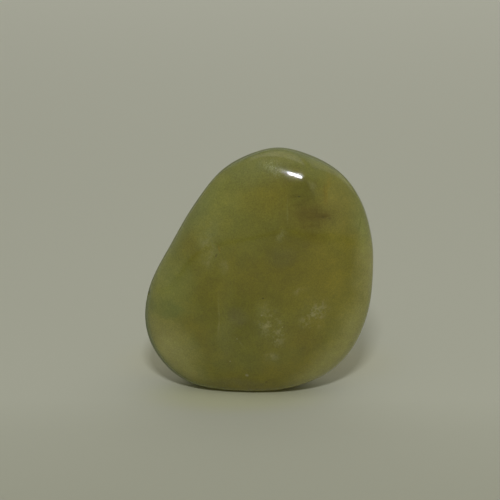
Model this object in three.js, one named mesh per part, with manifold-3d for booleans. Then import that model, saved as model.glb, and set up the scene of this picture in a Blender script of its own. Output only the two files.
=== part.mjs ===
// A polished jadeite pebble: one flat stone, rounded by tumbling, that stands on a small worn
// flat of its lower edge. Millimetres, +Z up. The broad front face looks along -Y, and the origin
// is on the ground, under the middle of the stone.
import * as THREE from "three";
import { ImprovedNoise } from "three/addons/math/ImprovedNoise.js";
import { mergeVertices } from "three/addons/utils/BufferGeometryUtils.js";
import Module from "manifold-3d";

// The outline seen from the front, clockwise from the crown, as [x, z] above the ground. Its
// lowest stretch runs a little below the ground, where the worn flat cuts it off.
const OUTLINE = [
  [3.0, 37.4],
  [7.8, 36.1],
  [12.2, 33.0],
  [15.0, 28.6],
  [16.45, 23.0],
  [16.6, 17.0],
  [16.0, 11.7],
  [13.9, 6.7],
  [10.4, 2.9],
  [5.5, 0.4],
  [-0.4, -0.6],
  [-6.3, -0.4],
  [-11.3, 1.2],
  [-15.2, 4.8],
  [-17.05, 10.1],
  [-16.4, 15.4],
  [-13.2, 22.1],
  [-9.4, 28.9],
  [-5.7, 33.9],
  [-1.6, 36.3],
];
const HEART = { x: 0.6, z: 17.9 }; // where both faces are thickest

// The two faces, measured from the plane of the rim
const FRONT_DEPTH = 6.0;
const BACK_DEPTH = 6.6;
const BLUNTNESS = 2.35; // 2 is a plain ellipse from face to face, and more is a squarer rim
const TAPER = 0.12; // share by which the stone is thicker low down and thinner high up
const RIM_SWAY = { height: 0.7, start: 0.6 }; // how the rim wanders from its plane, twice round

// Low swells left by tumbling
const SWELL_HEIGHT = 0.3;
const SWELLS_ACROSS = 1.7;

// Worn flats. Each presses the surface back to a plane, or nearly one: facing is its outward
// direction, press how far it lies below the highest point that way, round the radius that it is
// still rounded to, and soft how rounded its edge is.
const WORN_FLATS = [
  { facing: [-0.55, -0.6, 0.58], press: 0.5, round: 150, soft: 0.5 }, // left shoulder, front
  { facing: [0.62, -0.62, 0.48], press: 0.45, round: 150, soft: 0.5 }, // right shoulder, front
  { facing: [0.12, 1, -0.1], press: 0.35, round: 200, soft: 0.4 }, // back face
  { facing: [-0.7, 0.6, -0.35], press: 0.5, round: 150, soft: 0.5 }, // left hip, back
];

// The bevel worn along the front of the crown, a strip that slopes down to the right: middle is a
// point of it, run its direction, round its radius along and across, flank the slope that its
// sides level out to, and soft as above.
const CROWN_BEVEL = {
  middle: [5.5, -2.7, 34.05],
  facing: [-0.01, -0.848, 0.53],
  run: [0.93, 0, -0.37],
  round: { along: 112, across: 18 },
  flank: 0.3,
  soft: 0.2,
};

// The foot, the plane that the stone rests on: its edge is rounded, and the last sliver is cut
// off dead flat.
const FOOT_EDGE_SOFT = 0.18;
const FOOT_CUT = 0.03;

// A small shell-shaped chip out of the left rim
const CHIP = { x: -17.1, y: -0.4, z: 15.2, across: 2.0, deep: 1.6 };

// How finely the curved surfaces are split
const BODY_SPLITS = 17;
const CHIP_SPLITS = 5;
const OUTLINE_STEPS = 720;
const SAME_PLACE = 1e-4;

const JADEITE = new THREE.MeshStandardMaterial({
  color: 0x6c6a34,
  roughness: 0.18,
  metalness: 0,
});

const wasm = await Module();
wasm.setup();

// The rim's distance from the heart at any angle, from a smooth closed curve through the
// outline's points.
function rimReach() {
  const points = OUTLINE.map(([x, z]) => new THREE.Vector3(x, 0, z));
  const curve = new THREE.CatmullRomCurve3(points, true, "centripetal");
  const polar = curve
    .getSpacedPoints(OUTLINE_STEPS)
    .slice(1)
    .map((p) => ({
      angle: Math.atan2(p.z - HEART.z, p.x - HEART.x),
      reach: Math.hypot(p.x - HEART.x, p.z - HEART.z),
    }))
    .sort((a, b) => a.angle - b.angle);
  const first = polar[0];
  const last = polar.at(-1);
  const turn = 2 * Math.PI;
  const ring = [
    { angle: last.angle - turn, reach: last.reach },
    ...polar,
    { angle: first.angle + turn, reach: first.reach },
  ];
  return (angle) => {
    const after = ring.findIndex((p) => p.angle > angle);
    const [a, b] = [ring[after - 1], ring[after]];
    return THREE.MathUtils.mapLinear(angle, a.angle, b.angle, a.reach, b.reach);
  };
}

// The point of the tumbled body that lies in a unit direction from the heart.
function bodyPoint(direction, reachAt, noise) {
  const { x, y, z } = direction;
  const angle = Math.atan2(z, x);
  const spread = Math.hypot(x, z) ** (2 / BLUNTNESS);
  const face = y < 0 ? FRONT_DEPTH : BACK_DEPTH;
  const taper = 1 - TAPER * Math.sin(angle) * spread;
  const depth = Math.sign(y) * face * taper * Math.abs(y) ** (2 / BLUNTNESS);
  const sway = RIM_SWAY.height * Math.sin(2 * angle + RIM_SWAY.start) * spread ** 2;
  const at = direction.clone().multiplyScalar(SWELLS_ACROSS);
  const swell = 1 + (SWELL_HEIGHT / HEART.z) * noise.noise(at.x, at.y, at.z);
  const reach = reachAt(angle) * spread * swell;
  return new THREE.Vector3(
    HEART.x + reach * Math.cos(angle),
    depth + sway + SWELL_HEIGHT * y * noise.noise(at.z, at.x, at.y),
    HEART.z + reach * Math.sin(angle),
  );
}

// Presses the points that stand beyond a plane through middle back to it. Away from middle the
// plane falls back by fall, and its edge fades over soft millimetres.
function press(points, middle, facing, soft, fall) {
  for (const p of points) {
    const off = p.clone().sub(middle);
    const beyond = off.dot(facing) + fall(off.projectOnPlane(facing));
    const kept = -soft * Math.log1p(Math.exp(-beyond / soft));
    p.addScaledVector(facing, kept - beyond);
  }
}

function wearFlat(points, flat) {
  const facing = new THREE.Vector3(...flat.facing).normalize();
  const highest = points.reduce((a, b) => (b.dot(facing) > a.dot(facing) ? b : a));
  const middle = highest.clone().addScaledVector(facing, -flat.press);
  press(points, middle, facing, flat.soft, (off) => off.lengthSq() / (2 * flat.round));
}

function wearCrown(points) {
  const { middle, run, round, flank, soft } = CROWN_BEVEL;
  const facing = new THREE.Vector3(...CROWN_BEVEL.facing).normalize();
  const along = new THREE.Vector3(...run).projectOnPlane(facing).normalize();
  const curl = (far, radius) => {
    const reach = flank * radius;
    return flank * (Math.hypot(reach, far) - reach);
  };
  press(points, new THREE.Vector3(...middle), facing, soft, (off) => {
    const wide = off.clone().projectOnPlane(along).length();
    return curl(off.dot(along), round.along) + curl(wide, round.across);
  });
}

// A closed solid from a geometry, its doubled vertices merged.
function solidFrom(geometry) {
  const bare = geometry.clone().deleteAttribute("normal").deleteAttribute("uv");
  const merged = mergeVertices(bare, SAME_PLACE);
  return new wasm.Manifold(
    new wasm.Mesh({
      numProp: 3,
      vertProperties: merged.attributes.position.array,
      triVerts: new Uint32Array(merged.index.array),
    }),
  );
}

function geometryFrom(solid) {
  const { vertProperties, triVerts } = solid.getMesh();
  const geometry = new THREE.BufferGeometry();
  geometry.setAttribute("position", new THREE.BufferAttribute(vertProperties, 3));
  geometry.setIndex(new THREE.BufferAttribute(triVerts, 1));
  geometry.computeVertexNormals();
  return geometry;
}

// The body before its foot and its chip are cut.
function tumbledBody() {
  const sphere = new THREE.IcosahedronGeometry(1, BODY_SPLITS);
  const position = sphere.getAttribute("position");
  const reachAt = rimReach();
  const noise = new ImprovedNoise();
  const points = Array.from({ length: position.count }, (_, i) => {
    const direction = new THREE.Vector3().fromBufferAttribute(position, i);
    return bodyPoint(direction.normalize(), reachAt, noise);
  });
  WORN_FLATS.forEach((flat) => wearFlat(points, flat));
  wearCrown(points);
  press(points, new THREE.Vector3(), new THREE.Vector3(0, 0, -1), FOOT_EDGE_SOFT, () => 0);
  points.forEach((p, i) => position.setXYZ(i, p.x, p.y, p.z));
  return sphere;
}

// All that lies below the foot.
function ground() {
  const size = 100;
  const block = new THREE.BoxGeometry(size, size, size);
  return block.translate(0, 0, FOOT_CUT - size / 2);
}

function chipScoop() {
  return new THREE.IcosahedronGeometry(0.5, CHIP_SPLITS)
    .scale(CHIP.deep, CHIP.across, CHIP.across)
    .translate(CHIP.x, CHIP.y, CHIP.z);
}

function pebble() {
  const solid = solidFrom(tumbledBody())
    .subtract(solidFrom(ground()))
    .subtract(solidFrom(chipScoop()));
  const geometry = geometryFrom(solid);
  geometry.computeBoundingBox();
  const middle = geometry.boundingBox.getCenter(new THREE.Vector3());
  geometry.translate(-middle.x, -middle.y, -FOOT_CUT);
  const mesh = new THREE.Mesh(geometry, JADEITE);
  mesh.name = "jadeite_pebble";
  return mesh;
}

const part = new THREE.Group();
part.add(pebble());

export default part;
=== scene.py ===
# Dresses the jadeite pebble: the polished surface, the olive body with its clouds, wisps, healed
# cracks and specks, and the plain paper that it stands on. Lengths below are in millimetres,
# and turned to metres by MM where Blender takes them. Angles are in degrees.
import math
from typing import NamedTuple

import bpy
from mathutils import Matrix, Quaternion, Vector


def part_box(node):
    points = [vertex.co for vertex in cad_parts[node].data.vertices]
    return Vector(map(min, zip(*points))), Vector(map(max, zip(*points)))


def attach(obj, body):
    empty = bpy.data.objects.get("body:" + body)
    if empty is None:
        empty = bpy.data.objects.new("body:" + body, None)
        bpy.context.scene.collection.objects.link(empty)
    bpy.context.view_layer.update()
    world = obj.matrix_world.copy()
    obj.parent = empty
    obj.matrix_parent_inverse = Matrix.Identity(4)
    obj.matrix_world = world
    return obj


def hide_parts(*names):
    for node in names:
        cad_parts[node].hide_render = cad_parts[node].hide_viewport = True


MM = 0.001

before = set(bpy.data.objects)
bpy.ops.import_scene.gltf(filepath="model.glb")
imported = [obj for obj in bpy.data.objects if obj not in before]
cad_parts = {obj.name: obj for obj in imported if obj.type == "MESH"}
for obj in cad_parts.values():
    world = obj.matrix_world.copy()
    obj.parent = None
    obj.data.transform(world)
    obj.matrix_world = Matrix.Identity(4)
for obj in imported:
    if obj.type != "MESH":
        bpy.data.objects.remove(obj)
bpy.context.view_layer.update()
STONE_NODE = "jadeite_pebble"
STONE_LOW, STONE_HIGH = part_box(STONE_NODE)
STONE_MIDDLE = (STONE_LOW + STONE_HIGH) / 2

# The camera, as the photograph was taken: a long lens, a little above the stone. It aims off the
# stone's middle, because the stone isn't in the middle of the picture.
CAMERA_ELEVATION = 20
CAMERA_DISTANCE = 244.5
CAMERA_LENS = 120
SENSOR_WIDTH = 36
AIM_OFF_MIDDLE = (-1.25, 0, 3.07)

# The lamp in front, which lights the stone and casts its shadow, a narrow strip beside it that is
# seen in the polish alone, and the soft light from above and behind
LAMP_COLOUR = (0.98, 0.99, 1.08)
LAMP = {"elevation": 45, "azimuth": -0.6, "far": 330, "size": (44, 16), "power": 0.385}
STRIP = {"elevation": 45.6, "azimuth": 6.6, "far": 420, "size": (66, 4.8), "power": 0.38}
STRIP_ROLL = -24
FRONT_LIGHT = {"place": (0, -200, 750), "size": (440, 380), "power": 0.30}
BACK_LIGHT = {"place": (120, 500, 450), "size": (1400, 900), "power": 1.165}
BACK_LIGHT_TARGET = (0, 300, 0)
BACK_COLOUR = (1.01, 1.01, 0.98)
ROOM_COLOUR = (1.02, 1.01, 0.91)
ROOM_FADE = (0.0, 0.7, 0.25, 0.23)  # a fade, as below, from level to well overhead

# The paper, with painted light and shade. Its tones are pairs of how far back a place is and how
# light the paper is painted there, darker to the front and lighter to the back, and the lighter ones
# are painted cooler by a power of the tone. The glows are painted warmth and glow where light comes
# through the stone: middle and half size of an oval, what it multiplies the paper's colour by, and
# what it adds as a painted glow.
PAPER_SIZE = 1300
PAPER_COLOUR = (0.575, 0.581, 0.468)
PAPER_ROUGHNESS = 0.9
PAPER_TOOTH = {"size": 0.6, "detail": 3}
TOOTH_BUMP = {"strength": 0.05, "height": 0.1}
PAINTED_GLOW_FADE = (1.0, 0.3)
# painted light: ovals of warmth and glow painted on the paper round the stone and in its shadow
PAINTED_GLOWS = [
    {"middle": (0, 9), "half": (26, 14), "tint": (1.0, 0.972, 0.87), "shine": (0.005, 0.003, 0)},
    {"middle": (-3.5, -3.5), "half": (17, 8), "tint": (1, 1, 0.85), "shine": (0.008, 0.007, 0)},
]
# painted light and shade: the paper is painted darker to the front and lighter and cooler to the back
PAPER_PAINTED_LIGHT = [(-60, 0.665), (-16, 0.875), (-5, 0.957), (40, 1.025), (100, 1.105), (300, 1.40)]
PAINTED_LIGHT_COOLING = 1.2

# The noises of the stone's finish, with the size of their lumps, and its fades. A fade takes its
# first number to its third and its second to its fourth, or to 0 and 1, and holds the ends.
SWIRL = {"size": 3.0, "detail": 4, "colour": True}
SWIRL_MIDDLE = (0.5, 0.5, 0.5)
SWIRL_REACH = 2.4
HUES = {"size": 9.0, "detail": 3}
HUE_FADE = (0.35, 0.65)
BROWNS = {"size": 5.0, "detail": 3}
BROWN_STRETCH = (1.0, 1.0, 0.5)
BROWN_FADE = (0.48, 0.68, 0, 0.4)

# The noise that tears a patch, from where to where, and how much higher it starts on a broken one
TEARING = {"size": 1.3, "detail": 6, "roughness": 0.72}
TEARING_LOW, TEARING_HIGH, TEARING_RISE = 0.4, 0.61, 0.06
FACE_BLEND = 2.5  # a patch fades out this far past the stone's middle plane
FINE_PATCH = 0.5  # up to this half size a patch takes only a share of the swirl's warp
FINE_PATCH_WARP = 0.25

# The edges, by how far the surface has turned from the front and back (0 to 1), where the rim is
# painted lighter and greener and given a painted dark line, how far it faces the underside, where
# shade is painted, and how far it faces up, where shade is painted on the crest
# painted light: the rim is painted lighter and greener, for light through its thin edge; then painted
# shade on the rim's line, the underside and the crest
RIM_FADE = (0.1, 0.7, 0, 0.6)
RIM_LINE_FADE = (0.74, 1.0, 0, 0.5)
RIM_LINE_BREAKS = (0.4, 0.6, 0.4, 1.0)
UNDERSIDE_FACING = (-0.75, 0.25, -0.6)
UNDERSIDE_FADE = (0.3, 0.72, 0, 0.85)
UNDERSIDE_BEHIND = {"from": 0.5, "to": 3.5, "share": 0.3}
# painted shade along the top edge, where the surface faces up
CREST_FADE = (0.66, 0.92, 0, 0.5)

# Hairline scuffs, painted pale with a painted sparkle, and what makes the colour a little lighter and
# darker
HAIRLINES = {"size": 0.22, "detail": 3, "roughness": 0.7}
HAIRLINE_STRETCH = (1.4, 1.0, 0.45)
HAIRLINE_FADE = (0.52, 0.6)
HAIRLINE_FROST_AND_SPARKLE = 0.7
GRAIN = {"size": 0.35, "detail": 4, "roughness": 0.7}
GRAIN_FADE = (0.3, 0.7, 0.9, 1.1)
DUST = {"size": 0.16, "detail": 1}
DUST_FADE = (0.35, 0.65, 0.9, 1.1)
MOTTLE = {"size": 2.2, "detail": 3}
MOTTLE_FADE = (0.3, 0.7, 0.93, 1.07)

# The polish: its roughness, its ripple, and how light enters the stone
WEAR = {"size": 1.6, "detail": 4}
POLISH_FADE = (0.3, 0.7, 0.06, 0.10)
RIM_DULLING_FADE = (0.55, 0.95, 0, 0.4)
HAIRLINE_DULLING = 0.01
UNDERSIDE_DULLING = 0.45
RIPPLE = {"size": 0.6, "detail": 3}
SCUFF_HEIGHT = 0.25
BUMP_HEIGHT = 0.002
JADEITE_IOR = 1.66
SCATTER = {"share": 0.3, "radius": (1.0, 0.95, 0.35), "reach": 1.5}

# Hues of the stone, and of the light and shade painted on it, as linear red, green and blue
OLIVE = (0.208, 0.185, 0.016)
MOSS = (0.192, 0.188, 0.022)
UMBER = (0.205, 0.170, 0.010)
UMBER_DEEP = (0.180, 0.152, 0.008)
UMBER_LOW = (0.185, 0.148, 0.008)
CROWN_GREEN = (0.212, 0.231, 0.068)
SHOULDER_GREEN = (0.242, 0.248, 0.046)
SHOULDER_RIM = (0.200, 0.228, 0.064)
HONEY = (0.255, 0.217, 0.018)
WARM_SHOULDER = (0.275, 0.248, 0.043)
# painted light: the pale edge partly, and the rim's green glow
PALE_EDGE = (0.382, 0.360, 0.099)
RIM_GREEN_AND_PAINTED_GLOW = (0.272, 0.295, 0.073)
# painted shade: the rim's dark line, the crest and the underside
PAINTED_RIM_SHADE = (0.090, 0.105, 0.015)
PAINTED_CREST_SHADE = (0.120, 0.140, 0.040)
PAINTED_UNDERSIDE_SHADE = (0.072, 0.106, 0.010)
DEEP_OLIVE = (0.150, 0.140, 0.006)
FOOT_OLIVE = (0.205, 0.178, 0.010)
RUST = (0.270, 0.190, 0.012)
TEAL = (0.143, 0.172, 0.032)
TAN = (0.420, 0.400, 0.132)
SMOKE = (0.165, 0.152, 0.036)
HAZE = (0.215, 0.208, 0.046)
MILK = (0.375, 0.358, 0.143)
MIST = (0.262, 0.252, 0.066)
GREY_GREEN = (0.245, 0.268, 0.090)
STRAW = (0.310, 0.300, 0.055)
DARK_OLIVE = (0.110, 0.104, 0.005)
DARK_UMBER = (0.110, 0.080, 0.004)
# the scuffs' pale colour: partly real frost, partly a painted sparkle of the lamp
FROST_AND_SPARKLE = (0.450, 0.500, 0.240)
SPECK = (0.040, 0.036, 0.010)
FLECK = (0.500, 0.480, 0.280)

FRONT, BACK = -1, 1


class Patch(NamedTuple):
    """A soft-edged cloud, stain or wisp: its middle (x, z) on one face, its half sizes, and how
    far it is turned, in degrees anticlockwise as seen from the front."""

    name: str
    face: int
    middle: tuple
    half: tuple
    turn: float
    colour: tuple
    strength: float
    soft: float = 0.8
    broken: float = 0.3


PATCHES = [
    # Broad hues of the front
    Patch("honey side", FRONT, (10.0, 19.0), (9.0, 16.0), 0, HONEY, 0.8, 1.0, 0.0),
    Patch("green shoulder", FRONT, (-6.0, 30.0), (11.0, 7.0), 55, SHOULDER_GREEN, 0.8, 1.0, 0.0),
    Patch("warm shoulder", FRONT, (11.0, 29.5), (5.0, 6.5), 20, WARM_SHOULDER, 0.7, 1.0, 0.0),
    # the light crown: partly the stone's lighter green, partly painted light on the top
    Patch("light crown", FRONT, (-1.0, 36.0), (10.0, 5.0), 8, CROWN_GREEN, 0.8, 1.0, 0.0),
    Patch("light crown, right", FRONT, (7.0, 35.0), (4.5, 2.4), -22, CROWN_GREEN, 0.4, 1.0, 0.0),
    Patch("deep heart", FRONT, (-1.5, 13.0), (7.0, 9.0), 0, DEEP_OLIVE, 0.8, 1.0, 0.0),
    # the green and pale patches on the front's edges and the tan lobe: partly the stone's colour,
    # partly painted light through the thin edge
    Patch("green hip", FRONT, (-13.5, 16.5), (5.0, 9.0), -20, RIM_GREEN_AND_PAINTED_GLOW, 0.6, 1.0, 0.0),
    Patch("dark foot", FRONT, (-1.0, 2.0), (13.0, 4.5), 0, FOOT_OLIVE, 0.9, 1.0, 0.0),
    Patch("pale right edge", FRONT, (16.4, 20.5), (3.8, 12.0), 0, PALE_EDGE, 0.9, 1.0, 0.0),
    Patch("pale low right", FRONT, (11.8, 6.5), (8.0, 4.6), 48, PALE_EDGE, 0.75, 1.0, 0.0),
    Patch("tan lobe", FRONT, (-13.2, 7.2), (5.6, 8.0), 25, TAN, 0.7, 1.0, 0.1),
    # Clouds, streaks and stains
    Patch("teal cloud", FRONT, (-13.2, 13.9), (3.4, 2.1), 0, TEAL, 0.8, 0.9, 0.5),
    Patch("teal by the rim", FRONT, (-16.2, 14.7), (1.4, 2.4), 0, TEAL, 0.5, 1.0, 0.0),
    Patch("dark olive cloud", FRONT, (6.2, 32.0), (3.6, 2.8), -20, DARK_OLIVE, 0.85, 1.0, 0.3),
    Patch("brown cloud", FRONT, (7.7, 28.6), (5.6, 3.2), -8, DARK_UMBER, 0.8, 1.0, 0.3),
    Patch("dark streak", FRONT, (5.3, 31.4), (1.7, 0.4), 0, DARK_OLIVE, 0.7, 0.9, 0.5),
    Patch("brown streak", FRONT, (8.7, 28.4), (1.9, 0.5), 0, DARK_UMBER, 0.8, 0.9, 0.4),
    Patch("dark streak, lower", FRONT, (5.6, 30.2), (1.9, 0.3), 0, DARK_OLIVE, 0.5, 0.9, 0.5),
    Patch("brown streak, lower", FRONT, (7.3, 27.1), (2.2, 0.35), 0, DARK_UMBER, 0.5, 0.9, 0.5),
    Patch("dark streak, long", FRONT, (6.2, 31.3), (2.4, 0.16), 1, DARK_OLIVE, 0.55, 0.8, 0.3),
    Patch("brown streak, left", FRONT, (7.4, 28.9), (1.6, 0.18), -4, DARK_UMBER, 0.6, 0.8, 0.3),
    Patch("brown streak, right", FRONT, (9.6, 28.2), (1.6, 0.16), 2, DARK_UMBER, 0.6, 0.8, 0.3),
    Patch("brown bar", FRONT, (9.4, 31.9), (0.2, 1.9), 3, DARK_UMBER, 0.35, 0.9, 0.4),
    Patch("rusty band", FRONT, (9.7, 31.8), (0.8, 3.0), 0, RUST, 0.5, 0.9, 0.4),
    Patch("smear", FRONT, (7.7, 32.5), (1.9, 0.7), -45, MILK, 0.3, 0.9, 0.7),
    # Further hues, over the clouds
    Patch("umber middle", FRONT, (2.9, 20.5), (8.5, 10.5), 0, UMBER_DEEP, 0.75, 1.0, 0.0),
    Patch("dark by the seam", FRONT, (-7.6, 15.0), (2.6, 8.0), 0, DEEP_OLIVE, 0.55, 1.0, 0.0),
    Patch("dark nick", FRONT, (-16.5, 15.0), (0.6, 0.5), 0, DARK_OLIVE, 0.6, 1.0, 0.0),
    # the pale and green edge patches here: partly the stone's colour, partly painted light through
    # the thin edge
    Patch("pale heel", FRONT, (8.2, 3.4), (6.0, 2.8), 24, PALE_EDGE, 0.7, 1.0, 0.0),
    Patch("tan heel", FRONT, (-9.6, 3.4), (4.0, 2.2), -18, TAN, 0.3, 1.0, 0.1),
    Patch("pale edge, lower", FRONT, (14.2, 11.4), (3.8, 5.4), -8, PALE_EDGE, 0.8, 1.0, 0.0),
    Patch("green edge, upper", FRONT, (15.4, 26.0), (2.8, 6.0), 16, RIM_GREEN_AND_PAINTED_GLOW, 0.75, 1.0, 0.0),
    Patch("umber, upper right", FRONT, (3.8, 25.0), (5.4, 3.8), 0, DARK_OLIVE, 0.38, 1.0, 0.0),
    Patch("umber, by the brown cloud", FRONT, (8.2, 25.0), (2.8, 2.6), 0, DARK_UMBER, 0.25, 1.0, 0.0),
    Patch("umber, low right", FRONT, (6.4, 10.6), (4.6, 4.4), 0, UMBER_LOW, 0.5, 1.0, 0.0),
    Patch("green shoulder, rim", FRONT, (-8.8, 28.5), (2.2, 7.5), -34, SHOULDER_RIM, 0.5, 1.0, 0.0),
    Patch("dark above the seam", FRONT, (-6.2, 19.8), (2.0, 2.8), 0, DEEP_OLIVE, 0.3, 1.0, 0.0),
    Patch("haze by the seam", FRONT, (-4.6, 11.0), (2.2, 9.0), 0, HAZE, 0.45, 1.0, 0.2),
    # Ticks and smoke
    Patch("rusty tick", FRONT, (-5.7, 23.7), (0.25, 0.8), 10, RUST, 0.8, 0.8, 0.3),
    Patch("dark tick", FRONT, (-6.15, 22.7), (0.14, 0.4), -30, SPECK, 0.6, 0.8, 0.0),
    Patch("smoke, middle", FRONT, (3.3, 22.7), (2.6, 2.2), 0, SMOKE, 0.4),
    Patch("smoke, low left", FRONT, (-2.8, 13.5), (2.4, 2.0), 0, SMOKE, 0.7),
    # The back
    Patch("pale shoulder, back", BACK, (8.0, 30.0), (9.0, 7.0), -45, CROWN_GREEN, 0.8, 1.0, 0.0),
    Patch("honey belly, back", BACK, (-6.0, 16.0), (11.0, 12.0), 0, HONEY, 0.9, 1.0, 0.0),
    Patch("deep side, back", BACK, (7.5, 14.0), (7.0, 10.0), 0, DEEP_OLIVE, 0.7, 1.0, 0.0),
    Patch("pale foot, back", BACK, (-9.0, 5.0), (8.0, 4.5), -25, PALE_EDGE, 0.6, 1.0, 0.0),
    Patch("brown cloud, back", BACK, (-1.5, 26.5), (4.0, 3.0), 20, DARK_UMBER, 0.5, 1.0, 0.3),
    Patch("teal cloud, back", BACK, (11.5, 21.0), (3.0, 4.0), 10, TEAL, 0.6),
    Patch("smoke, back", BACK, (1.0, 9.0), (5.0, 3.0), 10, SMOKE, 0.6),
    Patch("wisp 1, back", BACK, (-4.0, 19.0), (2.6, 3.6), 30, MILK, 0.6, 0.8, 1.0),
    Patch("wisp 2, back", BACK, (3.5, 21.5), (2.0, 2.8), -20, MILK, 0.5, 0.8, 1.0),
    Patch("wisp 3, back", BACK, (-9.5, 12.0), (2.0, 1.4), 0, MILK, 0.4, 1.0, 0.9),
    Patch("healed crack, back", BACK, (6.0, 26.0), (0.2, 4.0), 35, MILK, 0.35, 0.6, 0.5),
    # Veils, mists, wisps, cracks and the seam
    Patch("smoke, foot", FRONT, (-2.8, 2.2), (7.0, 1.5), 0, SMOKE, 0.6),
    Patch("veil, upper left", FRONT, (-7.2, 25.0), (2.8, 5.5), -6, GREY_GREEN, 0.4, 1.0, 0.5),
    Patch("straw cloud", FRONT, (-14.4, 17.2), (2.4, 3.0), -20, STRAW, 0.3, 1.0, 0.2),
    Patch("mist, big wisp", FRONT, (1.6, 12.2), (3.4, 5.2), 14, MIST, 0.4, 1.0, 0.5),
    Patch("mist, right wisp", FRONT, (8.2, 15.0), (2.6, 2.8), -30, MIST, 0.35, 1.0, 0.4),
    Patch("pale cloud by the big wisp", FRONT, (0.4, 14.6), (1.7, 2.0), 0, STRAW, 0.25, 1.0, 0.2),
    Patch("mist, foot wisp", FRONT, (2.0, 7.2), (2.2, 2.0), 40, MIST, 0.4, 1.0, 0.6),
    Patch("wisp, left", FRONT, (-7.4, 23.2), (1.6, 3.0), -8, MILK, 0.35, 1.0, 0.8),
    Patch("wisp, small", FRONT, (-4.9, 21.3), (1.3, 1.4), 0, MILK, 0.35, 1.0, 0.7),
    Patch("wisp, big", FRONT, (1.9, 12.0), (2.4, 4.6), 14, MILK, 0.65, 0.9, 1.0),
    Patch("wisp, right", FRONT, (8.2, 14.2), (2.5, 3.5), -35, MILK, 0.75, 0.9, 1.0),
    Patch("wisp, above", FRONT, (5.9, 17.7), (1.6, 1.0), 30, MILK, 0.4, 1.0, 0.9),
    Patch("wisp, foot", FRONT, (1.9, 7.1), (1.7, 0.9), 0, MILK, 0.4, 1.0, 0.9),
    Patch("wisp, crack's end", FRONT, (3.4, 25.9), (1.2, 1.4), 0, MILK, 0.4, 1.0, 0.9),
    Patch("healed crack", FRONT, (4.1, 29.6), (0.16, 2.6), 0, MILK, 0.28, 0.8, 0.8),
    Patch("crack, right", FRONT, (14.65, 26.5), (0.15, 1.4), -16, DARK_OLIVE, 0.5, 0.8, 0.3),
    Patch("dark side of the seam", FRONT, (-6.4, 13.5), (0.9, 7.0), 0, DEEP_OLIVE, 0.35, 0.9, 0.0),
    Patch("seam", FRONT, (-5.8, 13.5), (0.22, 5.2), 0, MILK, 0.24, 0.9, 0.6),
    Patch("scratch", FRONT, (-2.4, 9.0), (0.15, 1.4), 36, MILK, 0.25, 0.8, 0.7),
    # The worn crown: a painted reflection along its top, and scuffs that are partly real frost and
    # partly a painted sparkle
    # a painted reflection along the crown
    Patch("veil on the crown", FRONT, (2.4, 36.0), (5.5, 0.9), -6, MILK, 0.2, 0.8, 0.3),
    Patch("frosted patch", FRONT, (1.9, 34.9), (2.6, 1.5), -25, FROST_AND_SPARKLE, 0.1, 1.0, 1.0),
    # Pale flecks and dark specks
    Patch("fleck 1", FRONT, (-3.2, 10.1), (0.13, 0.13), 0, FLECK, 0.5, 0.8, 0.0),
    Patch("fleck 2", FRONT, (-4.1, 6.2), (0.14, 0.14), 0, FLECK, 0.5, 0.8, 0.0),
    Patch("fleck 3", FRONT, (-1.7, 3.9), (0.34, 0.30), 0, FLECK, 0.45, 0.8, 0.0),
    Patch("fleck 4", FRONT, (0.4, 13.9), (0.15, 0.15), 0, FLECK, 0.5, 0.8, 0.0),
    Patch("fleck 5", FRONT, (3.5, 12.0), (0.13, 0.13), 0, FLECK, 0.5, 0.8, 0.0),
    Patch("speck 1", FRONT, (0.6, 16.5), (0.18, 0.13), 0, SPECK, 0.8, 0.5, 0.0),
    Patch("speck 2", FRONT, (1.2, 2.6), (0.18, 0.13), 0, SPECK, 0.8, 0.5, 0.0),
    Patch("speck 3", FRONT, (5.7, 31.3), (0.26, 0.14), 0, SPECK, 0.5, 0.6, 0.0),
    Patch("speck 4", FRONT, (9.2, 28.1), (0.34, 0.26), 0, SPECK, 0.4, 0.9, 0.0),
    Patch("speck 5", FRONT, (10.1, 27.9), (0.34, 0.26), 0, SPECK, 0.4, 0.9, 0.0),
]
# the scuffs: real marks in the roughness and bump; their colour is painted pale with a painted
# sparkle
SCUFFS = Patch("scuffs by the glint", FRONT, (2.0, 35.0), (2.6, 1.7), -25, FROST_AND_SPARKLE, 1.0, 1.0, 0.3)

# The stone's skin: the ball it starts from, its smoothing, the chip that keeps its edges, and the
# nick in front of the chip
BALL_SPLITS = 7
BALL_ROOM = 1.03
SMOOTHING = {"factor": 0.5, "iterations": 16}
CHIP = {"middle": (-16.9, -0.3, 15.15), "reach": 1.7, "finer": 2.3, "cuts": 2}
NICK = {"middle": (-16.35, -0.5, 15.0), "reach": 0.5, "deep": 0.16}

# The sockets of a Mix node for colours and of one for vectors
MIX_SHARE = 0
MIX_COLOURS, MIXED_COLOUR = (6, 7), 2
MIX_VECTORS, MIXED_VECTOR = (4, 5), 1


def deselect():
    bpy.ops.object.select_all(action="DESELECT")


def only(piece):
    """Selects one piece alone and makes it active."""
    deselect()
    piece.select_set(True)
    bpy.context.view_layer.objects.active = piece


def apply_modifier(piece, kind, name, **settings):
    """Adds a modifier, sets it and applies it."""
    modifier = piece.modifiers.new(name, kind)
    for key, value in settings.items():
        setattr(modifier, key, value)
    only(piece)
    bpy.ops.object.modifier_apply(modifier=modifier.name)


def add_node(tree, kind, inputs=None, **settings):
    """Adds a shader node, sets it, and links or fills its inputs."""
    made = tree.nodes.new(kind)
    for key, value in settings.items():
        setattr(made, key, value)
    for socket, value in (inputs or {}).items():
        if isinstance(value, bpy.types.NodeSocket):
            tree.links.new(value, made.inputs[socket])
        else:
            made.inputs[socket].default_value = value
    return made


def maths(tree, operation, *values):
    """The result of a Math node."""
    inputs = dict(enumerate(values))
    return add_node(tree, "ShaderNodeMath", inputs, operation=operation).outputs[0]


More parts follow.
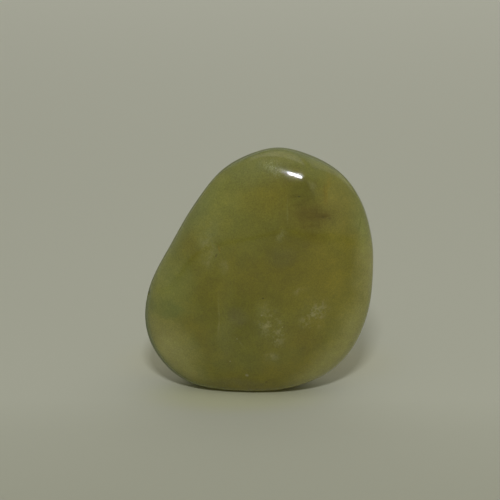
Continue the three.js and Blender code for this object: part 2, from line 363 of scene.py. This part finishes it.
def vector_maths(tree, operation, *values):
    """The result of a Vector Math node."""
    made = add_node(tree, "ShaderNodeVectorMath", dict(enumerate(values)), operation=operation)
    return made.outputs["Value" if operation in ("LENGTH", "DOT_PRODUCT") else "Vector"]


def remap(tree, value, low, high, to_low=0.0, to_high=1.0, smooth=True):
    """Takes low to to_low and high to to_high, and holds the ends."""
    inputs = {"Value": value, "From Min": low, "From Max": high}
    inputs |= {"To Min": to_low, "To Max": to_high}
    shape = "SMOOTHSTEP" if smooth else "LINEAR"
    made = add_node(tree, "ShaderNodeMapRange", inputs, interpolation_type=shape)
    return made.outputs["Result"]


def blend_colours(tree, share, first, second, way="MIX"):
    """Goes from the first colour to the second by share."""
    made = add_node(tree, "ShaderNodeMix", data_type="RGBA", blend_type=way)
    for socket, value in zip((MIX_SHARE, *MIX_COLOURS), (share, first, second)):
        if isinstance(value, bpy.types.NodeSocket):
            tree.links.new(value, made.inputs[socket])
        elif socket == MIX_SHARE:
            made.inputs[socket].default_value = value
        else:
            made.inputs[socket].default_value = (*value[:3], 1)
    return made.outputs[MIXED_COLOUR]


def noise(tree, place, size, detail=2.0, roughness=0.5, colour=False):
    """Noise whose lumps are about size millimetres across."""
    inputs = {"Vector": place, "Scale": 1 / (size * MM), "Detail": detail}
    inputs["Roughness"] = roughness
    made = add_node(tree, "ShaderNodeTexNoise", inputs)
    return made.outputs["Color" if colour else "Fac"]


def make_group(name, inputs, outputs):
    """A node group with named sockets: returns its tree, its input node and its output node."""
    tree = bpy.data.node_groups.new(name, "ShaderNodeTree")
    for way, sockets in (("INPUT", inputs), ("OUTPUT", outputs)):
        for socket, kind in sockets.items():
            tree.interface.new_socket(socket, in_out=way, socket_type=kind)
    return tree, tree.nodes.new("NodeGroupInput"), tree.nodes.new("NodeGroupOutput")


def soft_patch_group():
    """A soft oval on one face of the stone, with a torn edge where Broken is high."""
    sockets = {
        "Place": "NodeSocketVector",
        "Middle": "NodeSocketVector",
        "Half Size": "NodeSocketVector",
        "Turn": "NodeSocketFloat",
        "Face": "NodeSocketFloat",
        "Soft": "NodeSocketFloat",
        "Broken": "NodeSocketFloat",
        "Tearing": "NodeSocketFloat",
    }
    tree, given, out = make_group("soft_patch", sockets, {"Mask": "NodeSocketFloat"})
    give = given.outputs
    off = vector_maths(tree, "SUBTRACT", give["Place"], give["Middle"])
    turned = add_node(
        tree,
        "ShaderNodeVectorRotate",
        {"Vector": off, "Angle": give["Turn"]},
        rotation_type="Y_AXIS",
    ).outputs[0]
    flat = vector_maths(tree, "MULTIPLY", turned, (1, 0, 1))
    share = vector_maths(tree, "DIVIDE", flat, give["Half Size"])
    far = vector_maths(tree, "LENGTH", share)
    inner = maths(tree, "SUBTRACT", 1.0, give["Soft"])
    oval = remap(tree, far, 1.0, inner)
    gaps = maths(tree, "MULTIPLY_ADD", give["Broken"], TEARING_RISE, TEARING_LOW)
    torn = remap(tree, give["Tearing"], gaps, TEARING_HIGH)
    whole = maths(tree, "SUBTRACT", 1.0, give["Broken"])
    kept = maths(tree, "ADD", maths(tree, "MULTIPLY", torn, give["Broken"]), whole)
    side = maths(tree, "MULTIPLY", how_far_back(tree, give["Place"]), give["Face"])
    facing = remap(tree, side, -FACE_BLEND * MM, FACE_BLEND * MM)
    mask = maths(tree, "MULTIPLY", maths(tree, "MULTIPLY", oval, kept), facing)
    tree.links.new(mask, out.inputs["Mask"])
    return tree


def how_far_back(tree, place):
    """How far back of the stone's middle plane a place is."""
    return add_node(tree, "ShaderNodeSeparateXYZ", {0: place}).outputs["Y"]


def patch_mask(tree, soft_patch, patch, place, tearing):
    """The mask of one patch."""
    x, z = patch.middle
    wide, high = patch.half
    group = add_node(tree, "ShaderNodeGroup", node_tree=soft_patch, label=patch.name)
    feeds = {
        "Place": place,
        "Tearing": tearing,
        "Middle": (x * MM, 0, z * MM),
        "Half Size": (wide * MM, 1, high * MM),
        "Turn": math.radians(patch.turn),
        "Face": patch.face,
        "Soft": patch.soft,
        "Broken": patch.broken,
    }
    for socket, value in feeds.items():
        if isinstance(value, bpy.types.NodeSocket):
            tree.links.new(value, group.inputs[socket])
        else:
            group.inputs[socket].default_value = value
    return group.outputs["Mask"]


def lay_patches(tree, soft_patch, colour, place, warped, tearing):
    """Lays each patch over the colour below it. The fine ones are hardly warped."""
    slight = add_node(tree, "ShaderNodeMix", {MIX_SHARE: FINE_PATCH_WARP}, data_type="VECTOR")
    for socket, value in zip(MIX_VECTORS, (place, warped)):
        tree.links.new(value, slight.inputs[socket])
    for patch in PATCHES:
        at = warped if min(patch.half) > FINE_PATCH else slight.outputs[MIXED_VECTOR]
        mask = patch_mask(tree, soft_patch, patch, at, tearing)
        share = maths(tree, "MULTIPLY", mask, patch.strength)
        colour = blend_colours(tree, share, colour, patch.colour)
    return colour


def new_material(name):
    """An empty material: returns it, its tree and its Principled BSDF."""
    material = bpy.data.materials.new(name)
    material.use_nodes = True
    tree = material.node_tree
    return material, tree, tree.nodes["Principled BSDF"]


def body_colour(tree, warped, hues):
    """Moss and olive, with upright brown drifts."""
    colour = blend_colours(tree, remap(tree, hues, *HUE_FADE), MOSS, OLIVE)
    upright = vector_maths(tree, "MULTIPLY", warped, BROWN_STRETCH)
    browns = noise(tree, upright, **BROWNS)
    return blend_colours(tree, remap(tree, browns, *BROWN_FADE), colour, UMBER)


def painted_underside_shade(tree, place, normal):
    """Where shade is painted on the stone: low on its left, and less so towards its back."""
    under = vector_maths(tree, "DOT_PRODUCT", normal, UNDERSIDE_FACING)
    start, end = UNDERSIDE_BEHIND["from"] * MM, UNDERSIDE_BEHIND["to"] * MM
    behind = remap(tree, how_far_back(tree, place), end, start, UNDERSIDE_BEHIND["share"], 1.0)
    return maths(tree, "MULTIPLY", remap(tree, under, *UNDERSIDE_FADE), behind)


def edge_colours(tree, colour, rim, hues, underside_shade_share, upward):
    """Lays painted shade over a colour: the dark line of the rim, the underside and the crest."""
    breaks = remap(tree, hues, *RIM_LINE_BREAKS)
    line_share = maths(tree, "MULTIPLY", remap(tree, rim, *RIM_LINE_FADE), breaks)
    colour = blend_colours(tree, line_share, colour, PAINTED_RIM_SHADE)
    colour = blend_colours(tree, underside_shade_share, colour, PAINTED_UNDERSIDE_SHADE)
    return blend_colours(tree, remap(tree, upward, *CREST_FADE), colour, PAINTED_CREST_SHADE)


def shaded(tree, colour, place, warped):
    """Makes a colour a little lighter and darker, by a grain, a finer dust and broad mottles."""
    light = remap(tree, noise(tree, place, **GRAIN), *GRAIN_FADE, smooth=False)
    for at, lumps, fade in ((place, DUST, DUST_FADE), (warped, MOTTLE, MOTTLE_FADE)):
        light = maths(tree, "MULTIPLY", light, remap(tree, noise(tree, at, **lumps), *fade))
    grey = add_node(tree, "ShaderNodeCombineColor", {0: light, 1: light, 2: light}).outputs[0]
    return blend_colours(tree, 1.0, colour, grey, "MULTIPLY")


def polish(tree, place, rim, scratched, underside_shade_share):
    """The roughness: a varied polish, duller at the rim, the scuffs and the underside."""
    shine = remap(tree, noise(tree, place, **WEAR), *POLISH_FADE)
    dulled = remap(tree, rim, *RIM_DULLING_FADE)
    dulled = maths(tree, "MULTIPLY_ADD", scratched, HAIRLINE_DULLING, dulled)
    dulled = maths(tree, "MULTIPLY_ADD", underside_shade_share, UNDERSIDE_DULLING, dulled)
    return maths(tree, "ADD", shine, dulled)


def jadeite():
    """Olive jadeite: a mottled body with clouds and wisps in it, a greener rim painted lighter for
    light through its thin edge and with a painted dark outer line, painted shade on the underside and
    the crest, scuffs by the glint painted pale with a painted sparkle, and a varied polish."""
    material, tree, shader = new_material("polished jadeite")
    texture = add_node(tree, "ShaderNodeTexCoord").outputs
    place, normal = texture["Object"], texture["Normal"]
    towards = add_node(tree, "ShaderNodeSeparateXYZ", {0: normal}).outputs
    rim = maths(tree, "SUBTRACT", 1.0, maths(tree, "ABSOLUTE", towards["Y"]))
    swirl = vector_maths(tree, "SUBTRACT", noise(tree, place, **SWIRL), SWIRL_MIDDLE)
    warped = vector_maths(tree, "MULTIPLY_ADD", swirl, (SWIRL_REACH * MM,) * 3, place)

    hues = noise(tree, place, **HUES)
    colour = body_colour(tree, warped, hues)
    # painted light: the rim painted lighter and greener, for light through its thin edge
    colour = blend_colours(tree, remap(tree, rim, *RIM_FADE), colour, RIM_GREEN_AND_PAINTED_GLOW)
    tearing = noise(tree, place, **TEARING)
    soft_patch = soft_patch_group()
    colour = lay_patches(tree, soft_patch, colour, place, warped, tearing)
    # painted shade on the underside, low on its left
    underside_shade_share = painted_underside_shade(tree, place, normal)
    colour = edge_colours(tree, colour, rim, hues, underside_shade_share, towards["Z"])

    # the scuffs: real hairlines, painted pale, partly a painted sparkle of the lamp
    drawn = vector_maths(tree, "MULTIPLY", place, HAIRLINE_STRETCH)
    fine = noise(tree, drawn, **HAIRLINES)
    scuffs = patch_mask(tree, soft_patch, SCUFFS, place, tearing)
    scratched = maths(tree, "MULTIPLY", scuffs, remap(tree, fine, *HAIRLINE_FADE))
    frosted = maths(tree, "MULTIPLY", scratched, HAIRLINE_FROST_AND_SPARKLE)
    colour = blend_colours(tree, frosted, colour, FROST_AND_SPARKLE)
    colour = shaded(tree, colour, place, warped)
    tree.links.new(colour, shader.inputs["Base Color"])

    roughness = polish(tree, place, rim, scratched, underside_shade_share)
    tree.links.new(roughness, shader.inputs["Roughness"])
    shader.inputs["IOR"].default_value = JADEITE_IOR
    shader.inputs["Subsurface Weight"].default_value = SCATTER["share"]
    shader.inputs["Subsurface Radius"].default_value = SCATTER["radius"]
    shader.inputs["Subsurface Scale"].default_value = SCATTER["reach"] * MM

    ripple = noise(tree, place, **RIPPLE)
    scuffed = maths(tree, "MULTIPLY", scuffs, fine)
    height = maths(tree, "MULTIPLY_ADD", scuffed, SCUFF_HEIGHT, ripple)
    bump = add_node(tree, "ShaderNodeBump", {"Height": height, "Strength": 1.0})
    bump.inputs["Distance"].default_value = BUMP_HEIGHT * MM
    tree.links.new(bump.outputs[0], shader.inputs["Normal"])
    return material


def paper():
    """Plain pale paper with a faint tooth, painted lighter and cooler to the back as painted light
    and shade, and painted warmer round the stone, with a painted glow, where light comes through it."""
    material, tree, shader = new_material("plain paper")
    place = add_node(tree, "ShaderNodeTexCoord").outputs["Object"]
    depth = how_far_back(tree, place)
    # painted light and shade: darker to the front, lighter and cooler to the back
    painted_light_level = PAPER_PAINTED_LIGHT[0][1]
    for (near, near_tone), (far, far_tone) in zip(PAPER_PAINTED_LIGHT, PAPER_PAINTED_LIGHT[1:]):
        step = remap(tree, depth, near * MM, far * MM, 0, far_tone - near_tone, smooth=False)
        painted_light_level = maths(tree, "ADD", painted_light_level, step)
    painted_light_blue = maths(tree, "POWER", painted_light_level, PAINTED_LIGHT_COOLING)
    painted_light_colour = add_node(tree, "ShaderNodeCombineColor", {0: painted_light_level, 1: painted_light_level, 2: painted_light_blue}).outputs[0]
    colour = blend_colours(tree, 1.0, PAPER_COLOUR, painted_light_colour, "MULTIPLY")
    # painted warmth and a painted glow round the stone, for light that comes through it
    painted_glow_light = (0, 0, 0)
    for painted_glow in PAINTED_GLOWS:
        x, y = painted_glow["middle"]
        wide, deep = painted_glow["half"]
        off = vector_maths(tree, "SUBTRACT", place, (x * MM, y * MM, 0))
        share = vector_maths(tree, "DIVIDE", off, (wide * MM, deep * MM, 1))
        mask = remap(tree, vector_maths(tree, "LENGTH", share), *PAINTED_GLOW_FADE)
        colour = blend_colours(tree, mask, colour, painted_glow["tint"], "MULTIPLY")
        painted_glow_light = blend_colours(tree, mask, painted_glow_light, painted_glow["shine"], "ADD")
    tree.links.new(colour, shader.inputs["Base Color"])
    tree.links.new(painted_glow_light, shader.inputs["Emission Color"])
    shader.inputs["Emission Strength"].default_value = 1.0
    shader.inputs["Roughness"].default_value = PAPER_ROUGHNESS
    tooth = {"Height": noise(tree, place, **PAPER_TOOTH), "Strength": TOOTH_BUMP["strength"]}
    bump = add_node(tree, "ShaderNodeBump", tooth)
    bump.inputs["Distance"].default_value = TOOTH_BUMP["height"] * MM
    tree.links.new(bump.outputs[0], shader.inputs["Normal"])
    return material


def select_near(piece, middle, reach):
    """Selects the vertices within reach of a place, and leaves the piece in edit mode."""
    place = Vector(middle) * MM
    only(piece)
    bpy.ops.object.mode_set(mode="EDIT")
    bpy.ops.mesh.select_mode(type="VERT")
    bpy.ops.mesh.select_all(action="DESELECT")
    bpy.ops.object.mode_set(mode="OBJECT")
    for vertex in piece.data.vertices:
        vertex.select = (vertex.co - place).length < reach * MM
    bpy.ops.object.mode_set(mode="EDIT")


def make_stone():
    """A ball squashed to the stone's size, wrapped on the solid and smoothed, but for its chip,
    which is split finer, and whose nick is pressed in."""
    half = (STONE_HIGH - STONE_LOW) / 2
    deselect()
    bpy.ops.mesh.primitive_ico_sphere_add(
        subdivisions=BALL_SPLITS, radius=half.z * BALL_ROOM, location=STONE_MIDDLE
    )
    stone = bpy.context.object
    stone.name = stone.data.name = "polished_stone"
    bpy.ops.object.mode_set(mode="EDIT")
    bpy.ops.mesh.select_all(action="SELECT")
    bpy.ops.transform.resize(value=(half.x / half.z, half.y / half.z, 1))
    bpy.ops.object.mode_set(mode="OBJECT")
    bpy.ops.object.transform_apply(location=True, rotation=True, scale=True)
    apply_modifier(stone, "SHRINKWRAP", "wrap", target=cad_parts[STONE_NODE])

    select_near(stone, CHIP["middle"], CHIP["finer"])
    bpy.ops.mesh.subdivide(number_cuts=CHIP["cuts"])
    bpy.ops.object.mode_set(mode="OBJECT")
    apply_modifier(stone, "SHRINKWRAP", "wrap again", target=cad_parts[STONE_NODE])
    select_near(stone, CHIP["middle"], CHIP["reach"])
    bpy.ops.object.vertex_group_add()
    bpy.ops.object.vertex_group_assign()
    bpy.ops.object.mode_set(mode="OBJECT")
    but_chip = {"vertex_group": stone.vertex_groups[0].name, "invert_vertex_group": True}
    apply_modifier(stone, "SMOOTH", "polish", **SMOOTHING, **but_chip)
    bpy.ops.object.vertex_group_remove(all=True)
    select_near(stone, NICK["middle"], NICK["reach"])
    bpy.ops.transform.translate(value=(NICK["deep"] * MM, 0, 0))
    bpy.ops.object.mode_set(mode="OBJECT")
    bpy.ops.object.shade_smooth()
    stone.data.materials.append(jadeite())
    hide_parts(STONE_NODE)
    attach(stone, "root")


def make_paper():
    deselect()
    bpy.ops.mesh.primitive_plane_add(size=PAPER_SIZE * MM)
    sheet = bpy.context.object
    sheet.name = "paper_sweep"
    sheet.data.materials.append(paper())


def add_camera():
    tilt = math.radians(CAMERA_ELEVATION)
    aim = STONE_MIDDLE + Vector(AIM_OFF_MIDDLE) * MM
    back = Vector((0, -math.cos(tilt), math.sin(tilt)))
    bpy.ops.object.camera_add(
        location=aim + back * CAMERA_DISTANCE * MM, rotation=(math.pi / 2 - tilt, 0, 0)
    )
    camera = bpy.context.object
    camera.data.lens = CAMERA_LENS
    camera.data.sensor_width = SENSOR_WIDTH
    bpy.context.scene.camera = camera


def add_light(name, place, target, size, power, colour=ROOM_COLOUR, roll=0):
    """A rectangular light that faces the target."""
    bpy.ops.object.light_add(type="AREA", location=place)
    light = bpy.context.object
    light.name = name
    facing = (target - place).to_track_quat("-Z", "Y")
    light.rotation_euler = (facing @ Quaternion((0, 0, 1), math.radians(roll))).to_euler()
    light.data.shape = "RECTANGLE"
    light.data.size, light.data.size_y = (side * MM for side in size)
    light.data.energy = power
    light.data.color = colour
    return light


def add_lamp(name, lamp, roll=0):
    """A lamp that stands before the stone, at an angle to the side and above it."""
    tilt, turn = math.radians(lamp["elevation"]), math.radians(lamp["azimuth"])
    towards = Vector((math.sin(turn), -math.cos(turn), math.tan(tilt))).normalized()
    place = STONE_MIDDLE + towards * lamp["far"] * MM
    return add_light(name, place, STONE_MIDDLE, lamp["size"], lamp["power"], LAMP_COLOUR, roll)


def add_lights():
    lamp = add_lamp("lamp", LAMP)
    lamp.visible_glossy = False
    strip = add_lamp("strip", STRIP, STRIP_ROLL)
    strip.visible_diffuse = False
    front = Vector(FRONT_LIGHT["place"]) * MM
    add_light("front_light", front, STONE_MIDDLE, FRONT_LIGHT["size"], FRONT_LIGHT["power"])
    back = Vector(BACK_LIGHT["place"]) * MM
    target = Vector(BACK_LIGHT_TARGET) * MM
    add_light("back_light", back, target, BACK_LIGHT["size"], BACK_LIGHT["power"], BACK_COLOUR)

    world = bpy.data.worlds.new("room")
    world.use_nodes = True
    tree = world.node_tree
    direction = add_node(tree, "ShaderNodeTexCoord").outputs["Generated"]
    height = add_node(tree, "ShaderNodeSeparateXYZ", {0: direction}).outputs["Z"]
    sky = tree.nodes["Background"].inputs
    tree.links.new(remap(tree, height, *ROOM_FADE), sky["Strength"])
    sky["Color"].default_value = (*ROOM_COLOUR, 1)
    bpy.context.scene.world = world


add_camera()
make_stone()
make_paper()
add_lights()
bpy.context.scene.view_settings.view_transform = "Standard"
